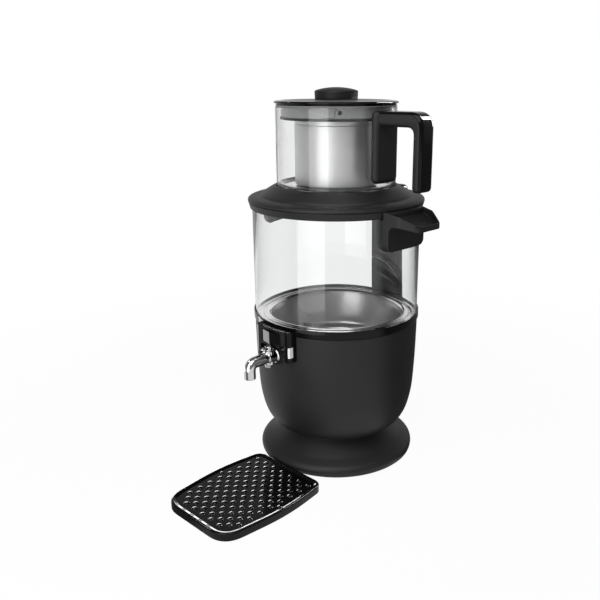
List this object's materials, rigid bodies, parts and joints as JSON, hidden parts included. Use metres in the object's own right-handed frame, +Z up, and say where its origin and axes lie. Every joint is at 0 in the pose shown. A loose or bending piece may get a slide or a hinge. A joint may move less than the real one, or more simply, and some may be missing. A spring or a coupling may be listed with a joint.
{
  "type": "electric samovar",
  "caption": "Electric samovar in black and glass: heated steel bowl under a glass water vessel, front tap, glass teapot with strainer on top, drip tray in front.",
  "frame": {"origin": "middle of the base hub, on the table", "axes": "+Z up; -Y towards the user, where the tap and the drip tray are; +X towards the teapot handle and one side grip"},
  "size_m": [0.255, 0.3291, 0.4153],
  "materials": {
    "black_matte_plastic": "moulded matte, very fine grain",
    "black_gloss_plastic": "moulded high gloss",
    "brushed_steel": "brushed",
    "aluminium": "die cast, satin",
    "chrome": "polished",
    "black_rubber": "matte",
    "clear_glass": "clear, polished",
    "grey_translucent_plastic": "smoky and translucent, satin",
    "white_lens": "clear to milky, glossy"
  },
  "bodies": {
    "samovar": {"pedestal": "black_matte_plastic", "base_plate": "black_matte_plastic", "foot_1": "black_rubber", "foot_2": "black_rubber", "foot_3": "black_rubber", "foot_4": "black_rubber", "base_screw_1": "brushed_steel", "base_screw_2": "brushed_steel", "base_screw_3": "brushed_steel", "base_screw_4": "brushed_steel", "neck_screw_1": "brushed_steel", "neck_screw_2": "brushed_steel", "neck_screw_3": "brushed_steel", "lower_housing": "black_matte_plastic", "trim_ring": "black_gloss_plastic", "glass_seal_lower": "black_rubber", "steel_bowl": "brushed_steel", "heating_plate": "aluminium", "heating_element": "brushed_steel", "thermostat": "black_matte_plastic", "thermal_fuse": "brushed_steel", "lead_gland": "black_rubber", "terminal_block": "black_matte_plastic", "glass_vessel": "clear_glass", "glass_seal_upper": "black_rubber", "collar": "black_matte_plastic", "grip_right": "black_matte_plastic", "grip_left": "black_matte_plastic", "spine_lower": "black_matte_plastic", "spine_upper": "black_matte_plastic", "spine_head": "black_gloss_plastic", "switch_saddle": "black_gloss_plastic", "switch_body": "black_matte_plastic", "light_window": "white_lens", "tap_body": "chrome", "tap_washer": "black_rubber", "tap_nut": "brushed_steel", "tap_bowl_washer": "black_rubber"},
    "rocker": {"power_rocker": "black_gloss_plastic"},
    "valve": {"valve_plug": "chrome", "valve_nut": "brushed_steel", "tap_lever": "chrome"},
    "filter": {"tap_filter": "black_matte_plastic"},
    "vessel_lid_body": {"vessel_lid": "black_matte_plastic"},
    "teapot": {"teapot_glass": "clear_glass", "teapot_handle": "black_matte_plastic", "handle_cover": "black_gloss_plastic"},
    "strainer": {"strainer_collar": "grey_translucent_plastic", "strainer_seal": "black_rubber", "strainer_basket": "brushed_steel"},
    "teapot_lid_body": {"teapot_lid": "black_gloss_plastic", "lid_knob": "black_matte_plastic", "knob_screw": "brushed_steel"},
    "tray": {"drip_tray": "black_gloss_plastic"}
  },
  "joints": [
    {"name": "rocker_tilt", "type": "hinge", "parent": "samovar", "child": "rocker", "pos_m": [0, -0.098, 0.1617], "axis": [0, 0, 1], "range_deg": [-9, 9]},
    {"name": "tap_turn", "type": "hinge", "parent": "samovar", "child": "valve", "pos_m": [0, -0.105, 0.1405], "axis": [0, 0, 1], "range_deg": [0, 90]},
    {"name": "filter_lift", "type": "slide", "parent": "samovar", "child": "filter", "axis": [0, 0, 1], "range_m": [0, 0.06]},
    {"name": "lid_lift", "type": "slide", "parent": "samovar", "child": "vessel_lid_body", "axis": [0, 0, 1], "range_m": [0, 0.06]},
    {"name": "teapot_lift", "type": "slide", "parent": "vessel_lid_body", "child": "teapot", "axis": [0, 0, 1], "range_m": [0, 0.08]},
    {"name": "strainer_lift", "type": "slide", "parent": "teapot", "child": "strainer", "axis": [0, 0, 1], "range_m": [0, 0.09]},
    {"name": "teapot_lid_lift", "type": "slide", "parent": "strainer", "child": "teapot_lid_body", "axis": [0, 0, 1], "range_m": [0, 0.04]},
    {"name": "tray_pull", "type": "slide", "parent": "samovar", "child": "tray", "axis": [0, -1, 0], "range_m": [0, 0.1]}
  ]
}
